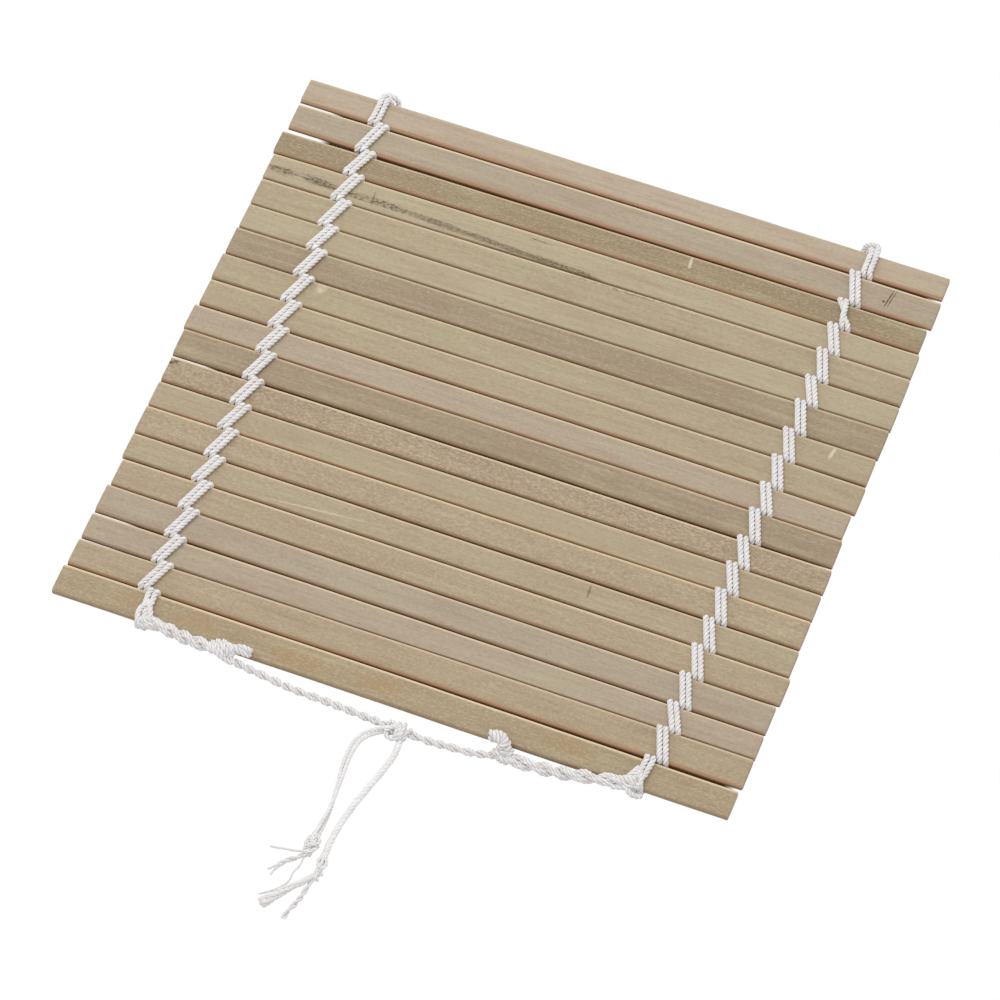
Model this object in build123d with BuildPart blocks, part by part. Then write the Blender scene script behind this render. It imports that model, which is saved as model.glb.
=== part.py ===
from build123d import *
import os
from math import dist, pi, radians, tan

os.makedirs("parts", exist_ok=True)

# Frame: X runs along the slats, Y towards the rear slat, Z up from the table

# Slats, numbered from the rear edge of the mat to the front edge with the tie
slat_length = 240.0
slat_width = 9.4
slat_thickness = 2.8
slat_gap = 2.1
long_edge_chamfer = 0.4
slat_end_chamfer = 0.25
end_stagger = 1.0

# Hand-split slats differ in width, and no two ends of the mat line up
slat_width_shares = [0.94, 1.11, 0.94, 1.0, 1.06, 0.91, 1.1, 1.02, 1.06, 0.91,
                     1.0, 1.04, 0.89, 1.05, 1.01, 0.97, 0.98, 0.94, 1.05, 1.08]
end_shift_shares = [-0.25, 0.1, -0.85, 0.0, 0.2, 0.35, 0.1, -0.25, 0.05, -1.0,
                    -0.35, 0.15, 0.1, 0.05, 0.2, 1.0, 0.15, 0.05, -0.1, -0.75]

# Binding cord: two lines of stitches, each a pair of strands over and under every slat
strand_diameter = 1.8
pair_spacing_share = 1.11
line_spacing = 180.4
stitch_side_clearance = 0.25
seat_clearance = 0.05
hinge_clearance = 0.05
trim_clearance = 0.02
strand_bend_radius = 1.2
foot_flat_depth = 0.5

# The doubled ends of the cord loop loosely round the rear edge
outer_bight_reach = 4.0
outer_bight_radius = 2.7
inner_bight_reach = 2.1
inner_bight_radius = 0.95

# Free cord on the front edge, with its knots and the tie
edge_rope_diameter = 4.4
edge_cord_diameter = 2.8
cut_end_diameter = 3.8
cut_end_round = 1.2
tail_diameter = 2.4
fray_diameter = 1.3
thick_fray_diameter = 2.6
corner_knot_length = 8.4
corner_knot_radius = 2.3
stitch_end_clearance = 0.4
stop_knot_length = 6.4
stop_knot_radius = 2.7
tie_knot_length = 9.4
tie_knot_radius = 2.55
tail_knot_length = 5.2
tail_knot_radius = 1.95
knot_waist_share = 0.72
arc_run_share = 0.45

# Places that follow from the sizes above
slat_count = len(slat_width_shares)
slat_widths = [slat_width * share for share in slat_width_shares]
strand_radius = strand_diameter / 2
pair_offset = strand_diameter * pair_spacing_share / 2
stitch_shift = pair_offset + strand_radius + stitch_side_clearance
slat_base = strand_diameter + seat_clearance - foot_flat_depth
slat_top = slat_base + slat_thickness
hinge_height = slat_base + slat_thickness / 2
over_height = slat_top + seat_clearance + strand_radius
under_height = slat_base - seat_clearance - strand_radius
half_gap = slat_gap / 2 - hinge_clearance
leg_offset = half_gap / 2
front_leg_offset = seat_clearance + strand_radius
bound_depth = sum(slat_widths) + slat_gap * (slat_count - 1)
front_reach = seat_clearance + strand_diameter
rear_edge = (bound_depth + outer_bight_reach + front_reach) / 2 - outer_bight_reach
front_edge = rear_edge - bound_depth
slat_rears = [
    rear_edge - sum(slat_widths[:place]) - slat_gap * place for place in range(slat_count)
]

# Route of the edge cord from the left corner to the right one, chosen point by point
left_corner_knot_axis = [(-88.2, -110.9, 6.55), (-86.8, -119.2, 6.55)]
right_corner_knot_axis = [(88.2, -110.9, 6.55), (86.8, -119.2, 6.55)]
left_edge_rope_points = [(-87.0, -116.0, 6.6), (-80.0, -116.3, 6.4), (-71.5, -117.2, 5.6),
                         (-65.5, -117.6, 5.6), (-60.4, -117.7, 6.0)]
left_stop_knot_axis = [(-62.8, -117.7, 6.1), (-56.4, -117.7, 6.1)]
left_cut_end_points = [(-59.6, -117.3, 6.9), (-54.6, -115.7, 6.8), (-48.2, -114.9, 6.3)]
left_edge_cord_points = [(-59.0, -118.0, 5.8), (-54.0, -119.1, 4.9), (-49.0, -119.5, 3.5),
                         (-42.0, -119.6, 2.1), (-32.0, -120.6, 1.5), (-20.0, -120.8, 1.5),
                         (-9.0, -121.4, 1.5), (2.5, -122.5, 2.2)]
tie_knot_axis = [(1.3, -122.6, 2.62), (10.6, -123.1, 2.62)]
right_edge_cord_points = [(9.4, -122.9, 2.2), (17.0, -122.9, 1.5), (25.0, -122.4, 1.5),
                          (33.0, -122.0, 1.6), (38.5, -120.9, 2.3), (43.0, -119.6, 2.8)]
right_stop_knot_axis = [(39.9, -119.8, 2.8), (46.2, -119.5, 2.8)]
right_cut_end_points = [(40.4, -119.8, 2.9), (43.0, -119.4, 6.0), (41.6, -115.7, 7.2),
                        (36.2, -115.8, 6.4)]
right_edge_rope_points = [(44.4, -119.6, 2.8), (50.0, -120.2, 2.5), (57.0, -119.5, 2.6),
                          (63.5, -119.3, 3.3), (69.5, -118.8, 4.5), (75.5, -118.4, 5.6),
                          (81.0, -117.2, 6.4), (87.0, -116.0, 6.6)]

# The two ends of the tie lie on the table in front of the mat
left_tail_points = [(4.0, -123.6, 2.4), (-1.2, -125.8, 1.5), (-4.6, -130.5, 1.25),
                    (-5.2, -138.0, 1.25), (-4.0, -148.0, 1.25), (-3.1, -157.5, 1.25),
                    (-3.4, -165.0, 1.25), (-3.8, -172.0, 1.8)]
right_tail_points = [(8.4, -123.8, 2.4), (9.3, -128.8, 1.4), (8.4, -135.5, 1.25),
                     (5.9, -144.5, 1.25), (3.3, -154.5, 1.25), (1.6, -164.5, 1.25),
                     (1.5, -172.5, 1.25), (2.0, -179.0, 1.8)]
left_tail_knot_axis = [(-3.7, -170.8, 2.0), (-4.2, -176.0, 2.0)]
right_tail_knot_axis = [(2.0, -178.0, 2.0), (2.3, -183.2, 2.0)]
left_fray_routes = [
    [(-4.6, -174.6, 1.8), (-7.6, -176.6, 1.0), (-11.6, -177.2, 0.7), (-16.4, -177.4, 0.7)],
    [(-4.2, -175.0, 1.5), (-6.6, -179.0, 0.8), (-10.6, -181.6, 0.7), (-13.2, -185.0, 0.7)],
    [(-3.8, -175.0, 1.5), (-3.9, -179.8, 0.7), (-6.4, -184.2, 0.7), (-8.2, -189.0, 0.7),
     (-12.4, -193.6, 0.7)],
]
right_fray_routes = [
    [(2.3, -182.4, 1.4), (2.2, -187.6, 0.7), (0.2, -193.6, 0.7), (-2.4, -200.4, 0.7)],
]
right_thick_fray_points = [(2.0, -182.2, 2.1), (0.2, -186.0, 1.5), (-4.4, -189.8, 1.35),
                           (-8.2, -193.8, 1.35), (-11.2, -197.8, 1.35)]


def corner_radii(points):
    """Arc radii that take the same share of the shorter run beside each corner."""
    radii = []
    for before, corner, after in zip(points, points[1:], points[2:]):
        arriving = Vector(*corner) - Vector(*before)
        leaving = Vector(*after) - Vector(*corner)
        half_turn = radians(arriving.get_angle(leaving) / 2)
        radii.append(arc_run_share * min(arriving.length, leaving.length) / tan(half_turn))
    return radii


def cord_along(points, diameter, radii):
    """A round cord: straight runs joined by tangent arcs."""
    with BuildPart() as cord:
        with BuildLine() as route:
            FilletPolyline(*points, radius=radii)
        with BuildSketch(Plane(origin=route.line @ 0, z_dir=route.line % 0)):
            Circle(diameter / 2)
        sweep()
    return cord, route.wire()


def free_cord(name, points, diameter):
    """A lying cord, with its bends and its volume against section times length printed."""
    radii = corner_radii(points)
    cord, route = cord_along(points, diameter, radii)
    expected = pi * (diameter / 2) ** 2 * route.length
    bends = ", ".join(f"{radius:.1f}" for radius in radii)
    print(f"{name}: length {route.length:.1f} mm, radii {bends} mm,", end=" ")
    print(f"volume {cord.part.volume / expected:.4f} of section times length")
    return cord


def knot(axis_ends, length, radius, lobes):
    """Turns of a tight knot, drawn as full rounds about the cord that runs through it."""
    start = Vector(*axis_ends[0])
    along = Vector(*axis_ends[1]) - start
    middle = start + along / 2
    waist = radius * knot_waist_share
    with BuildPart() as body:
        with BuildSketch(Plane(origin=middle, x_dir=along, z_dir=Vector(0, 0, 1))):
            with BuildLine():
                Line((-length / 2, 0), (-length / 2, waist))
                for lobe in range(lobes):
                    left = -length / 2 + length * lobe / lobes
                    right = left + length / lobes
                    ThreePointArc((left, waist), ((left + right) / 2, radius), (right, waist))
                Line((length / 2, waist), (length / 2, 0))
                Line((length / 2, 0), (-length / 2, 0))
            make_face()
        revolve(axis=Axis(middle, along))
    return body


def write_part(body, name):
    """Label the piece and save it."""
    body.part.label = name
    export_step(body.part, f"parts/{name}.step")


def trim_to_slat(place):
    """Flatten strands on a slat, at the middle of the gaps beside it and on the table."""
    rear = slat_rears[place]
    front = rear - slat_widths[place]
    block_width = slat_widths[place] + trim_clearance * 2
    block_height = slat_thickness + trim_clearance * 2
    with Locations((0, (rear + front) / 2, hinge_height)):
        Box(slat_length, block_width, block_height, mode=Mode.SUBTRACT)
    with Locations((0, 0, -slat_width / 2)):
        Box(slat_length, bound_depth * 2, slat_width, mode=Mode.SUBTRACT)
    if place > 0:
        with Locations((0, rear + half_gap + slat_width / 2, hinge_height)):
            Box(slat_length, slat_width, slat_width * 2, mode=Mode.SUBTRACT)
    if place < slat_count - 1:
        with Locations((0, front - half_gap - slat_width / 2, hinge_height)):
            Box(slat_length, slat_width, slat_width * 2, mode=Mode.SUBTRACT)


def stitch_routes(place, line_x, lean):
    """Points of the strands of one cord line on one slat, over it and then under it."""
    rear = slat_rears[place] + leg_offset
    front = slat_rears[place] - slat_widths[place] - leg_offset
    above = hinge_height + hinge_clearance
    below = hinge_height - hinge_clearance
    routes = []
    for offset in (-pair_offset, pair_offset):
        inner = line_x + lean * stitch_shift + offset
        outer = line_x - lean * stitch_shift + offset
        routes.append([(inner, rear, above), (inner, rear, over_height),
                       (outer, front, over_height), (outer, front, above)])
        routes.append([(outer, rear, below), (outer, rear, under_height),
                       (inner, front, under_height), (inner, front, below)])
    return routes


def bight_routes(line_x, lean):
    """Strands that pass over the rear slat, loop round its rear edge and come back under it."""
    front = slat_rears[0] - slat_widths[0] - leg_offset
    above = hinge_height + hinge_clearance
    below = hinge_height - hinge_clearance
    loops = [(outer_bight_reach, outer_bight_radius, 1), (inner_bight_reach, inner_bight_radius, -1)]
    routes = []
    for reach, radius, side in loops:
        rear = rear_edge + reach - strand_radius
        over_x = line_x - lean * (stitch_shift + side * pair_offset)
        under_x = line_x + lean * (stitch_shift + side * pair_offset)
        points = [(over_x, front, above), (over_x, front, over_height), (over_x, rear, over_height),
                  (under_x, rear, under_height), (under_x, front, under_height),
                  (under_x, front, below)]
        routes.append((points, [strand_bend_radius, radius, radius, strand_bend_radius]))
    return routes


def end_stitch_routes(line_x, lean):
    """Strands of the front slat: over it to the corner knot, and under and up its front face."""
    rear = slat_rears[-1] + leg_offset
    knot_face = left_corner_knot_axis[0][1] + stitch_end_clearance
    above = hinge_height + hinge_clearance
    below = hinge_height - hinge_clearance
    routes = []
    for offset in (-pair_offset, pair_offset):
        inner = line_x + lean * stitch_shift + offset
        outer = line_x - lean * stitch_shift + offset
        routes.append([(inner, rear, above), (inner, rear, over_height),
                       (inner, knot_face, over_height)])
        routes.append([(outer, rear, below), (outer, rear, under_height),
                       (inner, front_edge - front_leg_offset, under_height),
                       (inner, front_edge - front_leg_offset, slat_top)])
    return routes


def least_gap_to_itself(route, diameter):
    """Smallest air gap between stretches of one cord that are well apart along it."""
    steps = 60
    points = [route @ (step / steps) for step in range(steps + 1)]
    apart = int(steps * diameter * pi / route.length)
    gaps = [
        dist(tuple(first), tuple(second)) - diameter
        for place, first in enumerate(points)
        for second in points[place + apart:]
    ]
    return min(gaps)


# Both lines lean towards the middle of the rear edge, mirrored left and right
cord_lines = [(-line_spacing / 2, 1), (line_spacing / 2, -1)]

# Slats
for place in range(slat_count):
    shift = end_shift_shares[place] * end_stagger
    centre_y = slat_rears[place] - slat_widths[place] / 2
    end_plane = Plane(
        origin=(shift - slat_length / 2, centre_y, hinge_height), x_dir=(0, 1, 0), z_dir=(1, 0, 0)
    )
    with BuildPart() as slat:
        with BuildSketch(end_plane) as section:
            Rectangle(slat_widths[place], slat_thickness)
            chamfer(section.vertices(), length=long_edge_chamfer)
        extrude(amount=slat_length)
        ends = slat.faces().sort_by(Axis.X)
        chamfer(ends[0].edges() + ends[-1].edges(), length=slat_end_chamfer)
    write_part(slat, f"slat_{place + 1:02d}")

# Stitches over and under each slat, cut at the gaps so that they turn with their slat
loop_gaps = []
for place in range(slat_count):
    with BuildPart() as stitches:
        for line_x, lean in cord_lines:
            if place == 0:
                for points, radii in bight_routes(line_x, lean):
                    strand, route = cord_along(points, strand_diameter, radii)
                    loop_gaps.append(least_gap_to_itself(route, strand_diameter))
                    add(strand.part)
            elif place == slat_count - 1:
                for points in end_stitch_routes(line_x, lean):
                    radii = [strand_bend_radius] * (len(points) - 2)
                    add(cord_along(points, strand_diameter, radii)[0].part)
            else:
                for points in stitch_routes(place, line_x, lean):
                    radii = [strand_bend_radius] * (len(points) - 2)
                    add(cord_along(points, strand_diameter, radii)[0].part)
        trim_to_slat(place)
    write_part(stitches, f"stitches_{place + 1:02d}")
print(f"stitches: bend radius {strand_bend_radius:.1f} mm,", end=" ")
print(f"least gap of a rear loop to itself {min(loop_gaps):.2f} mm")

# Knots of the edge cord and of the tie
knots = [
    ("left_corner_knot", left_corner_knot_axis, corner_knot_length, corner_knot_radius, 3),
    ("right_corner_knot", right_corner_knot_axis, corner_knot_length, corner_knot_radius, 3),
    ("left_stop_knot", left_stop_knot_axis, stop_knot_length, stop_knot_radius, 2),
    ("right_stop_knot", right_stop_knot_axis, stop_knot_length, stop_knot_radius, 2),
    ("tie_knot", tie_knot_axis, tie_knot_length, tie_knot_radius, 3),
    ("left_tail_knot", left_tail_knot_axis, tail_knot_length, tail_knot_radius, 2),
    ("right_tail_knot", right_tail_knot_axis, tail_knot_length, tail_knot_radius, 2),
]
for name, axis_ends, length, radius, lobes in knots:
    write_part(knot(axis_ends, length, radius, lobes), name)

# Cords between the knots
cords = [
    ("left_edge_rope", left_edge_rope_points, edge_rope_diameter),
    ("right_edge_rope", right_edge_rope_points, edge_rope_diameter),
    ("left_edge_cord", left_edge_cord_points, edge_cord_diameter),
    ("right_edge_cord", right_edge_cord_points, edge_cord_diameter),
    ("left_tie_tail", left_tail_points, tail_diameter),
    ("right_tie_tail", right_tail_points, tail_diameter),
]
for name, points, diameter in cords:
    write_part(free_cord(name, points, diameter), name)

# Cut ends of the doubled cord, rounded over by wear
cut_ends = [
    ("left_cut_end", left_cut_end_points),
    ("right_cut_end", right_cut_end_points),
]
for name, points in cut_ends:
    cord = free_cord(name, points, cut_end_diameter)
    with BuildPart() as cut_end:
        add(cord.part)
        tip = cut_end.faces().sort_by_distance(points[-1])[0]
        fillet(tip.edges(), radius=cut_end_round)
    write_part(cut_end, name)

# Frayed strands past the tail knots
with BuildPart() as left_frayed_end:
    for points in left_fray_routes:
        add(free_cord("left fray", points, fray_diameter).part)
write_part(left_frayed_end, "left_frayed_end")

with BuildPart() as right_frayed_end:
    for points in right_fray_routes:
        add(free_cord("right fray", points, fray_diameter).part)
    add(free_cord("right thick fray", right_thick_fray_points, thick_fray_diameter).part)
write_part(right_frayed_end, "right_frayed_end")
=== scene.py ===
"""Looks of a bamboo sushi rolling mat: flat slats bound by two lines of cotton cord, tied at the front."""

import bpy
import numpy as np
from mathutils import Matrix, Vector


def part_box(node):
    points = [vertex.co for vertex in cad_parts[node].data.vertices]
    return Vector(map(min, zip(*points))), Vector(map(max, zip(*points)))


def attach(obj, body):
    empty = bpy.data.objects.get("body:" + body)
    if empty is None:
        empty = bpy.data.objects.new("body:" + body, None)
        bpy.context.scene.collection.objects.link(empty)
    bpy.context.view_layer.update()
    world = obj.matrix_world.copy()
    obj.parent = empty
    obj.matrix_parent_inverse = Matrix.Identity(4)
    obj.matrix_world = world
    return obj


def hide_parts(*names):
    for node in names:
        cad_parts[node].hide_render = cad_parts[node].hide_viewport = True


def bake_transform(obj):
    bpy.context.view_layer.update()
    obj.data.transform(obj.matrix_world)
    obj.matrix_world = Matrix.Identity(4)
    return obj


bl_info = {
    "name": "Sushi Rolling Mat",
    "version": (1, 0, 0),
    "blender": (4, 5, 0),
    "location": "View3D > Sidebar > Rolling Mat",
    "description": "Builds bamboo slats, cotton binding cords, knots and frayed ties",
    "category": "Object",
}

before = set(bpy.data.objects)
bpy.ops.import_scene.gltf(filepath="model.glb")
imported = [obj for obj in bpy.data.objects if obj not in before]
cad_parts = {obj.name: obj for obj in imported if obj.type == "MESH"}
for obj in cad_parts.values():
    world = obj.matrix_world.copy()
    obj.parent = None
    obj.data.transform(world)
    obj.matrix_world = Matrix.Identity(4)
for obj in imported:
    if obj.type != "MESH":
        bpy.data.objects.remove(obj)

MM = 0.001


def linear(hex_colour):
    """RGBA in linear light of an sRGB hex colour."""
    channels = np.array([int(hex_colour[at:at + 2], 16) for at in (0, 2, 4)]) / 255
    light = np.where(channels <= 0.04045, channels / 12.92, ((channels + 0.055) / 1.055) ** 2.4)
    return (*light.tolist(), 1.0)


# ---------------------------------------------------------------- slats, as the frame has them

SLAT_NAMES = [f"slat_{place:02d}" for place in range(1, 21)]
SLAT_BOXES = [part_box(name) for name in SLAT_NAMES]
SLAT_BASE, SLAT_TOP = SLAT_BOXES[0][0][2], SLAT_BOXES[0][1][2]
REAR_EDGE, FRONT_EDGE = SLAT_BOXES[0][1][1], SLAT_BOXES[-1][0][1]
GAP_MIDDLES = [
    (behind[0][1] + before[1][1]) / 2 for behind, before in zip(SLAT_BOXES, SLAT_BOXES[1:])
]

# Colour of each slat's upper face, rear to front: hand-split bamboo varies from slat to slat
BAMBOO_TONES = {
    "pink": "bfad97",
    "rosy": "b7a690",
    "grey": "b2a28d",
    "olive": "9d8a6c",
    "green": "b9aa8d",
    "khaki": "b4a487",
    "umber": "a39077",
    "russet": "af9a80",
    "sand": "b3a084",
    "gold": "ae9b7c",
}
SLAT_TONES = ["pink", "grey", "olive", "green", "khaki", "green", "umber", "khaki", "khaki", "rosy",
              "umber", "russet", "khaki", "sand", "khaki", "sand", "grey", "rosy", "sand", "gold"]
# How strongly each slat is speckled, how bright the painted highlight on its rear edge is,
# and how brown its split front side is
SLAT_SPECKLES = [0.5, 0.5, 1.3, 0.6, 0.7, 0.4, 0.9, 0.7, 0.7, 0.7,
                 0.8, 1.9, 0.6, 1.3, 0.8, 1.0, 0.6, 0.5, 1.0, 1.2]
SLAT_EDGE_HIGHLIGHTS = [0.2, 0.9, 0.7, 0.6, 0.6, 0.6, 0.5, 0.5, 0.7, 0.8,
                   0.6, 0.9, 0.8, 0.8, 0.7, 0.9, 0.7, 0.9, 0.6, 1.0]
SLAT_SIDE_BROWNS = [0.9, 0.9, 0.8, 0.25, 0.25, 0.15, 0.3, 0.3, 0.6, 0.9,
                    0.2, 0.3, 0.9, 0.5, 0.4, 0.6, 0.5, 0.25, 0.9, 0.25]

# Where the long edges stray from the frame's gap middles, in mm at the left end, the middle and the right
# end: the front edge of the slat behind each gap, then the rear edge of the slat before it
GAP_EDGES = [
    ((1.2, 1.0, 1.1), (-1.3, -1.1, -1.4)),
    ((1.4, 1.2, 0.7), (-1.8, -1.3, -1.5)),
    ((0.4, 0.8, 0.4), (-1.2, -0.7, -1.4)),
    ((-0.2, 0.4, 0.5), (-1.3, -0.5, -0.7)),
    ((0.1, 0.4, 0.7), (-0.9, -0.7, -0.8)),
    ((0.0, 0.1, 0.4), (-1.1, -0.8, -0.5)),
    ((0.4, 0.8, 0.5), (-0.6, -0.5, -0.6)),
    ((0.6, 0.7, 0.6), (-0.7, -0.2, -0.9)),
    ((1.2, 1.6, 0.4), (-0.3, 0.0, -0.8)),
    ((0.4, 0.7, 0.0), (-0.5, -0.4, -0.9)),
    ((0.9, 1.0, 0.1), (-1.2, -1.2, -1.8)),
    ((1.3, 1.2, 1.0), (-0.4, -0.1, -0.6)),
    ((0.5, 0.4, 0.0), (-0.6, -0.5, -1.0)),
    ((0.6, 1.2, 0.3), (-0.6, -0.7, -1.3)),
    ((1.6, 1.4, 0.3), (0.1, 0.1, -0.8)),
    ((1.1, 0.7, 0.4), (0.0, -0.7, -1.2)),
    ((1.2, 0.4, -0.2), (-0.9, -1.2, -1.8)),
    ((0.8, 0.3, 0.3), (-1.0, -0.3, -0.5)),
    ((1.3, 1.4, 1.2), (-0.1, -0.5, -1.5)),
]
REAR_EDGE_STRAY = (0.5, 0.2, -0.6)
FRONT_EDGE_STRAY = (0.4, 0.1, -0.4)

# Stains, nicks and scratches: slat, middle x and y, half length, half width, turn in degrees, how patchy,
# colour
SLAT_MARKS = [
    (4, (-0.1146, 0.0727), (0.0060, 0.0017), 0.0, 0.7, "6a5f45"),
    (4, (-0.1000, 0.0726), (0.0090, 0.0019), -3.5, 0.6, "62573d"),
    (4, (-0.0775, 0.0718), (0.0150, 0.0015), -1.0, 0.8, "6d6248"),
    (4, (-0.0560, 0.0712), (0.0150, 0.0014), -3.0, 0.5, "7b6d55"),
    (4, (-0.0330, 0.0701), (0.0170, 0.0014), -3.0, 0.5, "75684f"),
    (4, (-0.0080, 0.0692), (0.0170, 0.0014), -2.0, 0.5, "6d6146"),
    (5, (0.0170, 0.0676), (0.0240, 0.0012), 0.0, 0.9, "6d6149"),
    (4, (-0.0800, 0.0726), (0.0005, 0.0036), 8.0, 0.4, "75694d"),
    (4, (-0.0190, 0.0766), (0.0050, 0.0003), -1.0, 0.5, "7a6e52"),
    (2, (0.1026, 0.0968), (0.0004, 0.0046), -9.0, 0.3, "5f4228"),
    (2, (0.1036, 0.0970), (0.0003, 0.0044), -9.0, 0.3, "6a4b2e"),
    (2, (0.1012, 0.0952), (0.0006, 0.0007), 0.0, 0.2, "5a4630"),
    (3, (0.0333, 0.0866), (0.0007, 0.0026), 6.0, 0.2, "ddd0b6"),
    (8, (-0.0825, 0.0305), (0.0022, 0.0018), 30.0, 0.6, "d8ccae"),
    (8, (0.1050, 0.0294), (0.0007, 0.0030), -10.0, 0.3, "ddd0b4"),
    (15, (-0.0500, -0.0543), (0.022, 0.0004), 5.0, 0.6, "d3c7ac"),
    (15, (0.0472, -0.0520), (0.0005, 0.0030), 5.0, 0.3, "8a7457"),
    (12, (-0.1185, -0.0162), (0.0022, 0.0009), 25.0, 0.4, "6a4a30"),
    (20, (-0.0945, -0.1102), (0.0080, 0.0034), -2.0, 0.8, "ad9370"),
    (20, (-0.0700, -0.1095), (0.0100, 0.0032), 2.0, 0.8, "af9470"),
    (20, (-0.0340, -0.1112), (0.0130, 0.0036), -1.0, 0.8, "ac9069"),
    (20, (-0.0040, -0.1100), (0.0090, 0.0030), 2.0, 0.8, "ae936e"),
    (20, (0.0610, -0.1098), (0.0110, 0.0034), -2.0, 0.8, "ab916b"),
]

# ---------------------------------------------------------------- cord routes, rear to front

STITCH_LINE = 0.0902
# How far beside its line a pair goes down or comes up in a gap
STITCH_SHIFT = 0.002149
STRAND_RADIUS = 0.00106
PAIR_OFFSET = 0.00106
OVER_HEIGHT = 0.00522
UNDER_HEIGHT = 0.0007
LEG_ARM = 0.0013
# Sideways place of a strand one arm from its leg, as a share of the leg's, on the straight way to the next leg
ARM_SHARE = 0.77

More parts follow.
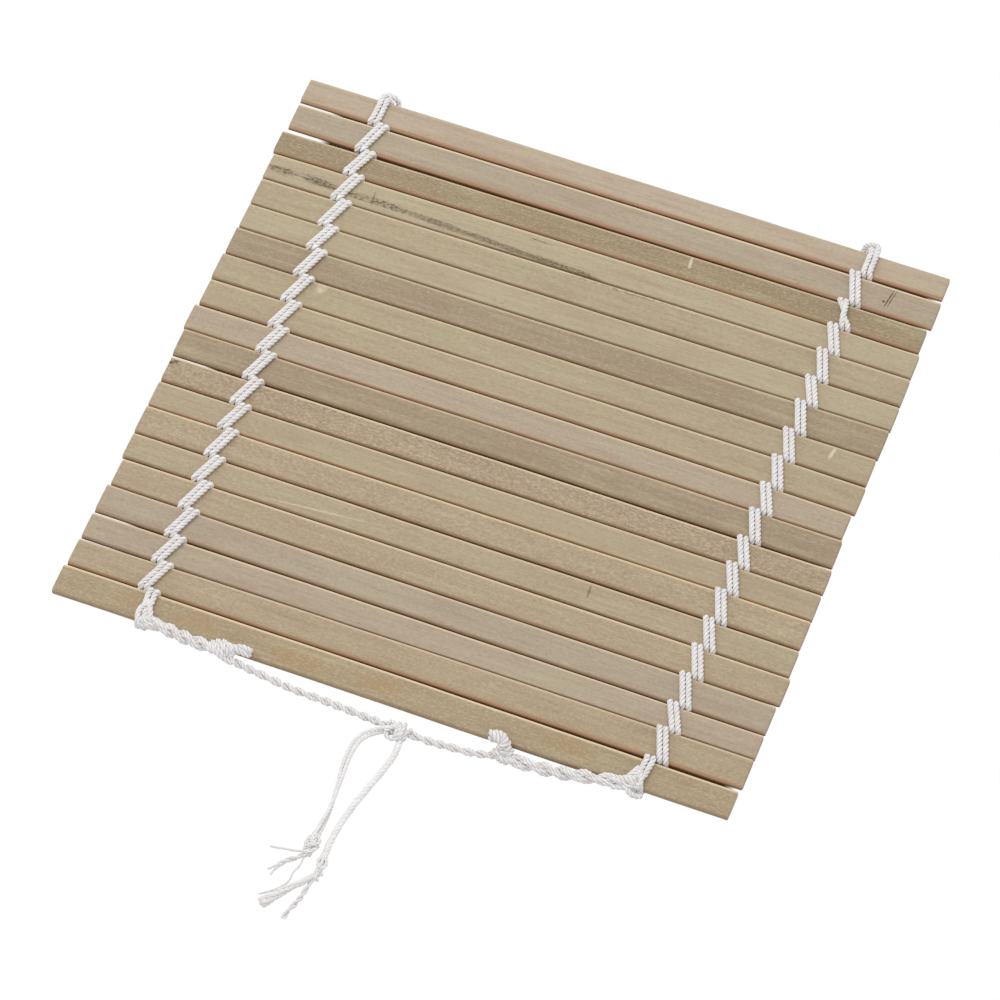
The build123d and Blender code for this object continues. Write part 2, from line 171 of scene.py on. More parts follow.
# Knots: radius of the strands in mm, then the points of each strand in mm, chosen point by point
KNOT_STRANDS = {
    "left_corner_knot": (0.98, [
        [(-87.4, -108.4, 4.9), (-89.3, -111, 6.4), (-89.4, -114.6, 7.2), (-88.5, -117.4, 6.6),
         (-86.5, -118.1, 5.2), (-83.7, -117, 4.9), (-80.8, -116.1, 5.2)],
        [(-89.3, -114.6, 4.9), (-87.2, -117, 7), (-84.9, -116.2, 7.8), (-82.4, -115.5, 7.5),
         (-79.4, -115.8, 6.8), (-77.1, -116.3, 6.4)],
        [(-87.7, -117.5, 5.2), (-85.4, -118, 7), (-82.9, -116.8, 7), (-80.6, -116.5, 6.2)],
        [(-88.4, -107.8, 4.9), (-86.8, -110.6, 6.6), (-85.4, -113.0, 7.0), (-84.6, -115.2, 6.6),
         (-85.0, -116.8, 5.0)],
    ]),
    "right_corner_knot": (0.98, [
        [(85.2, -109.8, 5), (87.9, -112.6, 6.7), (88.9, -115.2, 7), (88.2, -117.1, 6.4),
         (85.9, -117.3, 5.2), (83.1, -117.4, 5)],
        [(78.1, -117, 6.4), (80.9, -116.2, 7), (83.8, -116.6, 7.8), (86.5, -116.4, 7.6),
         (88.3, -116.4, 6), (88, -117.3, 4.6)],
        [(79.7, -119.4, 5.4), (83.1, -119.1, 6.2), (85.9, -118.3, 7), (87.2, -116.2, 7),
         (86.7, -112.9, 5.2)],
        [(86.2, -109.1, 5.2), (85.2, -112.6, 6.7), (83.8, -115.6, 6.9), (82.5, -117.6, 6)],
        [(83.8, -117.3, 6.6), (85.3, -119.1, 6.6), (87, -120, 5.6), (88.9, -119.7, 4.6),
         (90.7, -118.6, 4.2)],
    ]),
    "left_stop_knot": (0.95, [
        [(-62.6, -115, 5.4), (-60.3, -117.1, 7.4), (-57.8, -118.9, 7.6), (-56.2, -119.6, 6),
         (-56.6, -120, 4.6)],
        [(-61.1, -114.2, 5.6), (-58.6, -116.1, 7.8), (-56.3, -117.8, 7.9), (-55, -118.7, 6.4),
         (-55.4, -119.3, 4.8)],
        [(-59.1, -113.8, 5.8), (-56.6, -115.5, 7.7), (-54.8, -117, 7.7), (-54.1, -118, 6.4),
         (-54.5, -118.8, 5.2)],
        [(-64, -116.6, 6.4), (-61.7, -117.8, 7), (-59.7, -119.1, 7), (-57.7, -119.8, 6.2),
         (-55, -120.2, 5.4), (-52.8, -120.5, 5)],
    ]),
    "right_stop_knot": (0.95, [
        [(42.5, -117, 5.2), (41.5, -119.3, 5), (41, -121.2, 3.8), (41.6, -121.9, 2)],
        [(44, -117.3, 5.3), (43, -119.5, 5.2), (42.3, -121.4, 4.2), (42.7, -122.1, 1.8)],
        [(45.3, -117.3, 4.8), (44.6, -119.6, 5), (43.9, -121.4, 4), (44.3, -122.2, 1.6)],
        [(39.9, -119.3, 2.6), (41.9, -121.7, 4.6), (44.2, -122.3, 4.4), (46.2, -121.2, 3.2)],
    ]),
    "tie_knot": (0.82, [
        [(3.6, -122.9, 3), (3.4, -125.8, 3.6), (4.8, -127.2, 2.8), (6.9, -127.1, 3.2),
         (7.1, -125.5, 4.4), (6.9, -123.1, 4.4), (6.7, -120.3, 3)],
        [(3, -125.7, 3.8), (4.3, -124.2, 4.5), (6.3, -123, 4.4), (8.5, -122.6, 4.2), (10.6, -123.1, 3)],
        [(3.1, -122.6, 2.2), (3, -121.3, 3), (4.4, -121.2, 3.6), (5.8, -122.5, 4), (5.6, -124.2, 4)],
        [(8.7, -126.4, 2.6), (8.7, -124.8, 4.3), (9, -122.5, 4.4), (8.3, -119.9, 2.6)],
        [(7.4, -127.1, 2.2), (8, -125.9, 3.9), (8, -123.7, 4.4), (7, -120.8, 3)],
        [(9.6, -126.4, 1.8), (10.1, -125.3, 3.6), (10.1, -123.2, 3.9), (11.2, -121.4, 2.6)],
    ]),
    "left_tail_knot": (0.62, [
        [(-4.1, -168.5, 1.8), (-1.8, -169.8, 3), (-1.1, -171.9, 3.2), (-2.7, -173.1, 3.5),
         (-4.8, -173.7, 3), (-5.6, -174.8, 1.6)],
        [(-5.2, -169.4, 2), (-5.6, -172.1, 3), (-5.3, -174.1, 2.6), (-3.9, -174.2, 1.6)],
        [(-1.3, -172.1, 1.8), (-1.9, -174.4, 3), (-3.2, -176, 2.8), (-4.9, -175.5, 1.6),
         (-5.5, -173.8, 1.2)],
        [(-4.8, -167.7, 1.4), (-3.8, -171.8, 2.4), (-3.5, -175.1, 2.2), (-4.4, -177.3, 1.2)],
        [(-4, -167, 1.4), (-2.8, -170.9, 2.2), (-2.3, -174.3, 2.2), (-3.2, -176.8, 1.2)],
    ]),
    "right_tail_knot": (0.62, [
        [(1.7, -174.4, 1.6), (3.5, -176.7, 2.8), (3.8, -179.3, 3.3), (2.6, -180.4, 3.2),
         (1.1, -178.9, 2.6), (0.7, -177.2, 2.8), (1.5, -176.2, 3), (3, -176.9, 3)],
        [(2, -175, 2.2), (2.1, -178.5, 3.5), (2.7, -180.9, 3.3), (3.8, -182.1, 1.8)],
        [(1.9, -179, 1.6), (1.8, -181.7, 2.8), (2.2, -183.5, 2.4), (3.3, -184.2, 1.4)],
        [(2, -173.3, 1.4), (2.5, -177.9, 2), (2.3, -181.7, 2.4), (1.6, -184.2, 1.6)],
        [(0.8, -173.8, 1.4), (1.5, -178.1, 1.8), (1.5, -181.9, 2.2), (0.9, -183.8, 1.8)],
    ]),
}
# Cord that fills each knot: its radius and points in mm
KNOT_CORES = {
    "left_corner_knot": (1.6, [(-87.6, -111.0, 5.6), (-87.2, -114.2, 5.9), (-85.6, -116.0, 6.0),
                                (-82.0, -116.3, 6.3)]),
    "right_corner_knot": (1.6, [(87.0, -111.0, 5.6), (86.2, -114.4, 6.0), (84.8, -116.6, 6.2),
                                 (81.0, -117.3, 6.3)]),
    "left_stop_knot": (1.75, [(-63.4, -117.4, 6.0), (-60.0, -117.4, 6.2), (-56.0, -117.5, 6.2)]),
    "right_stop_knot": (1.75, [(39.2, -119.9, 2.7), (43.0, -119.9, 2.9), (46.6, -119.6, 2.7)]),
    "tie_knot": (1.7, [(2.2, -124.0, 2.2), (6.4, -123.8, 2.5), (10.8, -123.1, 2.3)]),
    "left_tail_knot": (1.15, [(-3.4, -169.4, 1.5), (-3.6, -172.4, 1.9), (-4.2, -176.0, 1.5)]),
    "right_tail_knot": (1.15, [(1.8, -175.6, 1.5), (2.3, -178.9, 1.9), (2.1, -183.0, 1.6)]),
}
LEFT_EDGE_ROPE = [(-0.0870, -0.1160, 0.0066), (-0.0800, -0.1163, 0.0064), (-0.0715, -0.1172, 0.0056),
                  (-0.0655, -0.1176, 0.0056), (-0.0604, -0.1177, 0.0060)]
LEFT_CUT_END = [(-0.0596, -0.1173, 0.0069), (-0.0546, -0.1157, 0.0068), (-0.0482, -0.1149, 0.0063)]
LEFT_EDGE_CORD = [(-0.0590, -0.1180, 0.0058), (-0.0540, -0.1191, 0.0049), (-0.0490, -0.1195, 0.0035),
                  (-0.0420, -0.1196, 0.0021), (-0.0320, -0.1206, 0.0015), (-0.0200, -0.1208, 0.0015),
                  (-0.0090, -0.1214, 0.0015), (0.0025, -0.1225, 0.0022)]
RIGHT_EDGE_CORD = [(0.0094, -0.1229, 0.0022), (0.0170, -0.1229, 0.0015), (0.0250, -0.1224, 0.0015),
                   (0.0330, -0.1220, 0.0016), (0.0385, -0.1209, 0.0023), (0.0430, -0.1196, 0.0028)]
RIGHT_CUT_END = [(0.0404, -0.1198, 0.0029), (0.0430, -0.1194, 0.0060), (0.0416, -0.1157, 0.0072),
                 (0.0362, -0.1158, 0.0064)]
RIGHT_EDGE_ROPE = [(0.0444, -0.1196, 0.0028), (0.0500, -0.1202, 0.0025), (0.0570, -0.1195, 0.0026),
                   (0.0635, -0.1193, 0.0033), (0.0695, -0.1188, 0.0045), (0.0755, -0.1184, 0.0056),
                   (0.0810, -0.1172, 0.0064), (0.0870, -0.1160, 0.0066)]
LEFT_TAIL = [(0.0040, -0.1236, 0.0024), (-0.0012, -0.1258, 0.0015), (-0.0046, -0.1305, 0.00125),
             (-0.0052, -0.1380, 0.00125), (-0.0040, -0.1480, 0.00125), (-0.0031, -0.1575, 0.00125),
             (-0.0034, -0.1650, 0.00125), (-0.0038, -0.1720, 0.0018)]
RIGHT_TAIL = [(0.0084, -0.1238, 0.0024), (0.0093, -0.1288, 0.0014), (0.0084, -0.1355, 0.00125),
              (0.0059, -0.1445, 0.00125), (0.0033, -0.1545, 0.00125), (0.0016, -0.1645, 0.00125),
              (0.0015, -0.1725, 0.00125), (0.0020, -0.1790, 0.0018)]
# Frayed strands in mm: radius of a strand, winding radius of its pair, points
LEFT_FRAYS = [
    (0.40, 0.0, [(-5.2, -175.4, 1.6), (-7.4, -176.0, 1.0), (-11.5, -176.3, 0.6), (-14.4, -177.0, 0.6),
                 (-16.4, -177.2, 0.6)]),
    (0.52, 0.46, [(-4.2, -175.6, 1.7), (-6.1, -178.2, 1.1), (-8.4, -179.6, 1.0), (-9.9, -181.0, 1.0),
                  (-11.2, -182.8, 1.0)]),
    (0.42, 0.0, [(-9.6, -180.6, 1.1), (-11.2, -182.6, 0.9), (-13.3, -184.7, 0.6), (-14.0, -185.3, 0.6)]),
    (0.42, 0.0, [(-9.6, -181.0, 0.9), (-10.8, -183.0, 0.7), (-11.9, -184.8, 0.6), (-12.3, -187.0, 0.6)]),
    (0.34, 0.0, [(-4.4, -176.8, 1.5), (-4.4, -180.5, 0.6), (-5.9, -183.3, 0.5), (-5.6, -186.4, 0.5),
                 (-6.9, -189.2, 0.5), (-9.8, -192.3, 0.5), (-13.3, -194.8, 0.5)]),
]
RIGHT_FRAYS = [
    (0.50, 0.45, [(1.4, -182.8, 1.6), (0.8, -187.2, 1.1), (0.2, -191.2, 1.0), (-0.9, -194.6, 1.0),
                  (-2.0, -197.6, 1.0), (-2.5, -200.4, 0.9)]),
]
RIGHT_THICK_FRAY = [(0.0016, -0.1822, 0.0021), (-0.0010, -0.1862, 0.0016), (-0.0040, -0.1886, 0.00145),
                    (-0.0066, -0.1922, 0.0014), (-0.0088, -0.1952, 0.0014), (-0.0112, -0.1982, 0.0013)]


# ---------------------------------------------------------------- curves and surfaces as arrays

def unit(vectors):
    """Each vector divided by its length."""
    return vectors / np.linalg.norm(vectors, axis=-1, keepdims=True)


def arc_lengths(line):
    """Distance along a line of points from its first point to each of them."""
    steps = np.linalg.norm(np.diff(line, axis=0), axis=1)
    return np.concatenate([[0.0], np.cumsum(steps)])


def route_line(route, step):
    """Points about one step apart on the smooth NURBS spline that has the route as control points."""
    curve = bpy.data.curves.new("route", "CURVE")
    curve.dimensions = "3D"
    curve.resolution_u = 20
    spline = curve.splines.new("NURBS")
    spline.points.add(len(route) - 1)
    spline.points.foreach_set("co", np.column_stack([route, np.ones(len(route))]).ravel())
    spline.order_u = 3
    spline.use_endpoint_u = True
    holder = bpy.data.objects.new("route", curve)
    mesh = bpy.data.meshes.new_from_object(holder)
    line = np.empty(len(mesh.vertices) * 3)
    mesh.vertices.foreach_get("co", line)
    bpy.data.objects.remove(holder)
    bpy.data.curves.remove(curve)
    bpy.data.meshes.remove(mesh)
    line = line.reshape(-1, 3)
    along = arc_lengths(line)
    even = np.linspace(0, along[-1], max(int(along[-1] / step), 4) + 1)
    return np.column_stack([np.interp(even, along, line[:, axis]) for axis in range(3)])


def cross_axes(line, hint):
    """Two unit vectors square to the line at each point: the hint made square to it, and their cross."""
    tangent = unit(np.gradient(line, axis=0))
    hint = np.broadcast_to(np.asarray(hint, float), line.shape)
    side = unit(hint - tangent * np.sum(hint * tangent, axis=1, keepdims=True))
    return side, np.cross(tangent, side)


def flattest(line):
    """The direction in which a line of points spreads least: the last right singular vector of the points."""
    return np.linalg.svd(line - line.mean(axis=0), full_matrices=False)[2][-1]


def wound(line, hint, radius, pitch, phase, loose=0.0):
    """A helix round the line. It stands off by the radius and turns once every pitch of length. Where it is
    loose, its turn and radius also sway by sines of the length."""
    side, up = cross_axes(line, hint)
    along = arc_lengths(line)
    angle = 2 * np.pi * (along / pitch + phase) + loose * np.sin(2 * np.pi * (along / (1.7 * pitch) + 0.3))
    reach = radius * (1 + 0.3 * loose * np.sin(2 * np.pi * (along / (1.3 * pitch) + phase)))
    return line + (reach * np.cos(angle))[:, None] * side + (reach * np.sin(angle))[:, None] * up


def strand_shell(line, hint, radius, pitch, plies=3, sides=15, groove=0.31, phase=0.0, domed=(False, False), seed=0.0,
                 shade=1.0):
    """A laid strand. A ring round each point of the line turns once every pitch. Its radius at angle a is
    radius * (1 - groove * (1 - |cos(plies * a / 2)|)), which is a round lobe for each ply. At a domed end the
    rings shrink as a quarter circle over one radius. The grooves get painted shade, as strong as the shade says."""
    side, up = cross_axes(line, flattest(line) if hint is None else hint)
    along = arc_lengths(line)
    angle = 2 * np.pi * np.arange(sides) / sides
    lobe = 1 - np.abs(np.cos(plies * angle / 2))
    size = np.broadcast_to(radius, along.shape).astype(float)
    for at_end, distance in zip(domed, (along, along[-1] - along)):
        if at_end:
            near = np.clip(1 - distance / size, 0, 1)
            size = size * np.sqrt(np.maximum(1 - near ** 2, 0.03))
    turned = angle[None, :] + 2 * np.pi * (along[:, None] / pitch + phase)
    reach = size[:, None] * (1 - groove * lobe)[None, :]
    rings = (line[:, None, :]
             + (reach * np.cos(turned))[..., None] * side[:, None, :]
             + (reach * np.sin(turned))[..., None] * up[:, None, :])
    rings[..., 2] = np.maximum(rings[..., 2], 0.0)
    place = np.stack([reach * np.cos(angle), reach * np.sin(angle),
                      np.broadcast_to(along[:, None] + seed, reach.shape)], axis=-1)
    # How much painted shade each point of a groove gets
    depth = np.broadcast_to(lobe * shade, reach.shape)
    return {"rings": rings, "strand_place": place, "groove_shade": depth}


def part_of(shell, kept):
    """The stretch of a shell with the kept rings."""
    return {name: values[kept] for name, values in shell.items()}


def stretches(wanted, margin):
    """Slices of the unbroken runs where an array is true, with a margin of rings at both ends."""
    edges = np.flatnonzero(np.diff(np.concatenate([[0], wanted.astype(int), [0]])))
    return [slice(max(first - margin, 0), last + margin)
            for first, last in zip(edges[::2], edges[1::2]) if last - first + 2 * margin > 1]


def closed_piece(name, shells, material):
    """One mesh of closed tubes. Each shell's rings are joined by four-sided faces and its two end rings
    are closed by one flat face each. The other arrays of a shell become attributes of its points."""
    points, corners, sizes, smooth, start = [], [], [], [], 0
    for shell in shells:
        count, sides = shell["rings"].shape[:2]
        index = start + np.arange(count * sides).reshape(count, sides)
        onward = np.roll(index, -1, axis=1)
        quads = np.stack([index[:-1], onward[:-1], onward[1:], index[1:]], axis=-1)
        corners += [quads.ravel(), index[0, ::-1], index[-1]]
        sizes.append(np.concatenate([np.full((count - 1) * sides, 4), [sides, sides]]))
        smooth.append(np.concatenate([np.full((count - 1) * sides, True), [False, False]]))
        points.append(shell["rings"].reshape(-1, 3))
        start += count * sides
    corners, sizes = np.concatenate(corners), np.concatenate(sizes)
    mesh = bpy.data.meshes.new(name)
    mesh.vertices.add(start)
    mesh.vertices.foreach_set("co", np.concatenate(points).ravel().astype(np.float32))
    mesh.loops.add(len(corners))
    mesh.loops.foreach_set("vertex_index", corners.astype(np.int32))
    mesh.polygons.add(len(sizes))
    mesh.polygons.foreach_set("loop_start", np.concatenate([[0], np.cumsum(sizes)[:-1]]).astype(np.int32))
    mesh.polygons.foreach_set("use_smooth", np.concatenate(smooth))
    mesh.update(calc_edges=True)
    for label in shells[0].keys() - {"rings"}:
        values = np.concatenate([shell[label].reshape(-1, *shell[label].shape[2:]) for shell in shells])
        vector = values.ndim == 2
        attribute = mesh.attributes.new(label, "FLOAT_VECTOR" if vector else "FLOAT", "POINT")
        attribute.data.foreach_set("vector" if vector else "value", values.ravel().astype(np.float32))
    mesh.materials.append(material)
    piece = bpy.data.objects.new(name, mesh)
    bpy.context.scene.collection.objects.link(piece)
    return piece


# ---------------------------------------------------------------- materials

def add_node(tree, kind, inputs, output=0, **settings):
    """Add a node with its settings, give each input its value or link, and return the output asked for."""
    node = tree.nodes.new(kind)
    for name, value in settings.items():
        setattr(node, name, value)
    for name, value in inputs.items():
        if isinstance(value, bpy.types.NodeSocket):
            tree.links.new(value, node.inputs[name])
        else:
            node.inputs[name].default_value = value
    return node.outputs[output] if node.outputs else None


def new_material(name):
    """An empty node material and its node tree."""
    material = bpy.data.materials.new(name)
    material.use_nodes = True
    material.node_tree.nodes.clear()
    return material, material.node_tree


def split_bamboo(name, marks, look):
    """Split and planed bamboo, undyed. The eye sees soft pinkish and greenish patches some 30 mm long, fibre
    bundles half a millimetre wide, a fine speckle and browner sides. A pale highlight is painted along the
    rear edges, and shade is painted along the middle of the sides, between two slats."""
    material, tree = new_material(name)
    place = add_node(tree, "ShaderNodeAttribute", {}, output=1, attribute_name="grain_place")
    colour = add_node(tree, "ShaderNodeAttribute", {}, output=1, attribute_name="slat_tone")
    speckled = add_node(tree, "ShaderNodeAttribute", {}, output=2, attribute_name="speckle")
    side = add_node(tree, "ShaderNodeAttribute", {}, output=2, attribute_name="split_side")
    # Painted shade along the middle of the sides, between two slats
    deep = add_node(tree, "ShaderNodeAttribute", {}, output=2, attribute_name="side_shade")
    # The pale band on the rear edge of the upper face is a painted highlight
    highlighted = add_node(tree, "ShaderNodeAttribute", {}, output=2, attribute_name="highlighted_edge")
    # Cell sizes along, across and between slats, in metres, then detail, strength and two colours
    layers = [
        ((0.030, 0.0055, 1), 2, 0.40, 1.0, "a58c76", "b8b08b"),
        ((0.055, 0.0015, 1), 2, 0.27, 1.0, "95856a", "cabb9d"),
        ((0.013, 0.00050, 1), 2, 0.20, 1.0, "86755b", "d3c5a7"),
        ((0.0012, 0.00060, 1), 2, 0.28, speckled, "7e6a52", "dfd2b8"),
    ]
    heights = []
    for cell, detail, strength, share, dark, light in layers:
        at = add_node(tree, "ShaderNodeVectorMath",
                      {0: place, 1: tuple(1 / size for size in cell)}, operation="MULTIPLY")
        noise = add_node(tree, "ShaderNodeTexNoise", {"Vector": at, "Scale": 1.0, "Detail": detail,
                                                      "Roughness": 0.55})
        heights.append(noise)
        for shade, low, high in ((dark, 0.48, 0.24), (light, 0.52, 0.76)):
            amount = add_node(tree, "ShaderNodeMapRange",
                              {"Value": noise, "From Min": low, "From Max": high, "To Max": strength})
            amount = add_node(tree, "ShaderNodeMath", {0: amount, 1: share}, operation="MULTIPLY",
                              use_clamp=True)
            colour = add_node(tree, "ShaderNodeMix", {0: amount, 6: colour, 7: linear(shade)},
                              output=2, data_type="RGBA")
    # Short pale and dark flecks: cell, threshold, colour, strength
    for cell, threshold, shade, strength in (((0.0016, 0.00045, 1), 0.70, "86704f", 0.32),
                                             ((0.0022, 0.00040, 1), 0.70, "e0d2b2", 0.24)):
        at = add_node(tree, "ShaderNodeVectorMath",
                      {0: place, 1: tuple(1 / size for size in cell), 2: (17.0, 31.0, strength * 90)},
                      operation="MULTIPLY_ADD")
        noise = add_node(tree, "ShaderNodeTexNoise", {"Vector": at, "Scale": 1.0, "Detail": 0.0})
        amount = add_node(tree, "ShaderNodeMapRange",
                          {"Value": noise, "From Min": threshold, "From Max": threshold + 0.10,
                           "To Max": strength})
        colour = add_node(tree, "ShaderNodeMix", {0: amount, 6: colour, 7: linear(shade)},
                          output=2, data_type="RGBA")
    spot = add_node(tree, "ShaderNodeTexCoord", {}, output=3)
    for _, middle, half, turn, patchy, shade in marks:
        at = add_node(tree, "ShaderNodeMapping",
                      {"Vector": spot, "Location": (*middle, SLAT_TOP),
                       "Rotation": (0, 0, np.radians(turn)), "Scale": (*half, 0.004)},
                      vector_type="TEXTURE")
        reach = add_node(tree, "ShaderNodeVectorMath", {0: at}, output=1, operation="LENGTH")
        ragged = add_node(tree, "ShaderNodeMath", {0: heights[2], 1: 1.1, 2: reach},
                          operation="MULTIPLY_ADD")
        amount = add_node(tree, "ShaderNodeMapRange",
                          {"Value": ragged, "From Min": 1.60, "From Max": 1.20, "To Max": 0.95})
        patch = add_node(tree, "ShaderNodeMapRange",
                         {"Value": heights[3], "From Min": 0.58, "From Max": 0.40, "To Min": 1 - patchy})
        amount = add_node(tree, "ShaderNodeMath", {0: amount, 1: patch}, operation="MULTIPLY")
        colour = add_node(tree, "ShaderNodeMix", {0: amount, 6: colour, 7: linear(shade)},
                          output=2, data_type="RGBA")
    # Painted highlight along the rear edge of the upper face
    colour = add_node(tree, "ShaderNodeMix", {0: highlighted, 6: colour, 7: tuple(look.highlighted)},
                      output=2, data_type="RGBA")
    split = add_node(tree, "ShaderNodeMix",
                     {0: heights[2], 6: tuple(look.split_dark), 7: tuple(look.split_light)},
                     output=2, data_type="RGBA")
    colour = add_node(tree, "ShaderNodeMix", {0: side, 6: colour, 7: split},
                      output=2, data_type="RGBA")
    # Painted shade along the middle of the sides, where they face each other across a gap
    colour = add_node(tree, "ShaderNodeMix", {0: deep, 6: colour, 7: tuple(look.crevice_shade)},
                      output=2, data_type="RGBA")
    relief = add_node(tree, "ShaderNodeMath", {0: heights[2], 1: heights[3]}, operation="ADD")
    bump = add_node(tree, "ShaderNodeBump", {"Height": relief, "Strength": 0.25, "Distance": 0.00012})
    rough = add_node(tree, "ShaderNodeMapRange", {"Value": heights[1], "To Min": 0.52, "To Max": 0.70})
    shader = add_node(tree, "ShaderNodeBsdfPrincipled",
                      {"Base Color": colour, "Roughness": rough, "Normal": bump, "IOR": 1.45,
                       "Specular IOR Level": 0.3})
    add_node(tree, "ShaderNodeOutputMaterial", {"Surface": shader})
    return material


def laid_cotton(look):
    """Bleached cotton cord, three soft plies laid together: matt white lobes, grooves darkened by painted shade, fine
    fibres.
    """
    material, tree = new_material("laid cotton cord")
    place = add_node(tree, "ShaderNodeAttribute", {}, output=1, attribute_name="strand_place")
    depth = add_node(tree, "ShaderNodeAttribute", {}, output=2, attribute_name="groove_shade")
    # Fibres 0.22 mm wide, drawn coarser than real cotton fibre so that they show
    fine = add_node(tree, "ShaderNodeVectorMath", {0: place, 1: (1 / 0.00022, 1 / 0.00022, 1 / 0.0013)},
                    operation="MULTIPLY")
    fibres = add_node(tree, "ShaderNodeTexNoise", {"Vector": fine, "Scale": 1.0, "Detail": 2.0})
    wide = add_node(tree, "ShaderNodeVectorMath", {0: place, 1: (1 / 0.003, 1 / 0.003, 1 / 0.004)},
                    operation="MULTIPLY")
    patches = add_node(tree, "ShaderNodeTexNoise", {"Vector": wide, "Scale": 1.0, "Detail": 1.0})
    patches = add_node(tree, "ShaderNodeMapRange", {"Value": patches, "From Min": 0.35, "From Max": 0.65})
    tinted = add_node(tree, "ShaderNodeMix", {0: patches, 6: tuple(look.cotton), 7: tuple(look.tint)},
                      output=2, data_type="RGBA")
    # Painted shade in the grooves between the plies
    deep = add_node(tree, "ShaderNodeMapRange",
                    {"Value": depth, "From Min": 0.45, "From Max": 1.0, "To Max": 1.0})
    shaded = add_node(tree, "ShaderNodeMix", {0: deep, 6: tinted, 7: tuple(look.groove)},
                      output=2, data_type="RGBA")
    thread = add_node(tree, "ShaderNodeMapRange",
                      {"Value": fibres, "From Min": 0.46, "From Max": 0.28, "To Max": 0.14})
    colour = add_node(tree, "ShaderNodeMix", {0: thread, 6: shaded, 7: tuple(look.groove)},
                      output=2, data_type="RGBA")
    bump = add_node(tree, "ShaderNodeBump", {"Height": fibres, "Strength": 0.5, "Distance": 0.00012})
    shader = add_node(tree, "ShaderNodeBsdfPrincipled",
                      {"Base Color": colour, "Roughness": 0.92, "Normal": bump,
                       "Specular IOR Level": 0.15, "Sheen Weight": 0.5, "Sheen Roughness": 0.5})
    add_node(tree, "ShaderNodeOutputMaterial", {"Surface": shader})
    return material


# ---------------------------------------------------------------- settings

def colour_setting(name, description, hex_colour):
    """A colour that the user can change."""
    return bpy.props.FloatVectorProperty(name=name, description=description, subtype="COLOR", size=4,
                                         min=0, max=1, default=linear(hex_colour))


class RollingMatBamboo(bpy.types.PropertyGroup):
    """Shape and finish of the slats."""

    edge_round: bpy.props.FloatProperty(
        name="Edge Round", description="Radius of the slats' long edges", default=0.28 * MM,
        min=0.1 * MM, max=1.2 * MM, unit="LENGTH")
    side_slant: bpy.props.FloatProperty(
        name="Side Slant", description="Share of a gap into which the slanted front side of a slat reaches",
        default=0.52, min=0, max=0.6, subtype="FACTOR")
    crown: bpy.props.FloatProperty(
        name="Crown", description="How far the upper face rises in its middle", default=0.08 * MM,
        min=0, max=0.2 * MM, unit="LENGTH")
    edge_wander: bpy.props.FloatProperty(
        name="Edge Wander", description="How far a hand-split edge strays from straight",
        default=0.10 * MM, min=0, max=0.3 * MM, unit="LENGTH")
    # Colour of the highlight painted along the rear edge of the upper face
    highlighted: colour_setting("Highlighted Edge", "Pale worn rear edge of the upper face", "f3ddb8")
    split_light: colour_setting("Split Side, Pale", "Pale fibres of the split sides", "d8b594")
    split_dark: colour_setting("Split Side, Dark", "Dark fibres of the split sides", "b48c6a")
    # Colour of the shade painted along the middle of the sides
    crevice_shade: colour_setting("Crevice", "Deepest line of the sides, between two slats", "603e1a")


class RollingMatCord(bpy.types.PropertyGroup):
    """Lay and colour of the cotton cords."""

    ply_pitch: bpy.props.FloatProperty(
        name="Ply Pitch", description="Length of one turn of a strand's three plies",
        default=5.0 * MM, min=2 * MM, max=12 * MM, unit="LENGTH")
    ring_step: bpy.props.FloatProperty(
        name="Ring Step", description="Distance between the rings of a strand's surface",
        default=0.26 * MM, min=0.15 * MM, max=1 * MM, unit="LENGTH")
    cotton: colour_setting("Cotton", "Bleached cotton", "ffffff")
    tint: colour_setting("Tint", "Slightly rosy patches", "f8f3f1")
    # Colour of the shade painted in the grooves, also used for the darker fibres
    groove: colour_setting("Groove", "Shade between plies", "94877f")


class RollingMatStage(bpy.types.PropertyGroup):
    """Floor and light."""

    floor_white: colour_setting("Floor", "Colour of the open floor", "ffffff")
    gap_shade: colour_setting("Gap Shade", "Colour of the floor seen through a closed gap", "40260f")
    contact_shade: colour_setting("Contact Shade", "Colour of the floor right beside what lies on it",
                                  "dcd8d5")
    lamp_power: bpy.props.FloatProperty(
        name="Lamp Power", description="Power of the soft lamp above the mat", default=5.2,
        min=0, max=60, unit="POWER")


# ---------------------------------------------------------------- operators

class MAT_OT_slats(bpy.types.Operator):
    """Make the twenty bamboo slats"""

    bl_idname = "rolling_mat.slats"
    bl_label = "Bamboo Slats"

    def execute(self, context):
        look = context.scene.rolling_mat_bamboo
        plain = split_bamboo("split bamboo", [], look)
        for place, name in enumerate(SLAT_NAMES, start=1):
            marks = [mark for mark in SLAT_MARKS if mark[0] == place]
            material = split_bamboo(f"split bamboo, marked {place}", marks, look) if marks else plain
            piece = closed_piece(f"bamboo_{name}", [slat_shell(place, look)], material)
            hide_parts(name)
            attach(piece, name)
        return {"FINISHED"}


def bowed(strays, x):
    """Offset in metres at x of an edge that strays by these mm at the left end, the middle and the right end:
    the parabola through the three."""
    left, middle, right = strays
    share = x / SLAT_BOXES[0][1][0]
    return MM * (middle + share * (right - left) / 2 + share ** 2 * ((left + right) / 2 - middle))


def slat_edges(place, x):
    """The y of a slat's rear edge and of its front edge at x."""
    rear = (REAR_EDGE + bowed(REAR_EDGE_STRAY, x) if place == 1
            else GAP_MIDDLES[place - 2] + bowed(GAP_EDGES[place - 2][1], x))
    front = (FRONT_EDGE + bowed(FRONT_EDGE_STRAY, x) if place == 20
             else GAP_MIDDLES[place - 1] + bowed(GAP_EDGES[place - 1][0], x))
    return rear, front


def slat_gap(place, x):
    """Width at x of the gap before a slat, and a narrow one before the front slat."""
    if place == 20:
        return np.full(len(x), 0.6 * MM)
    return slat_edges(place, x)[1] - slat_edges(place + 1, x)[0]


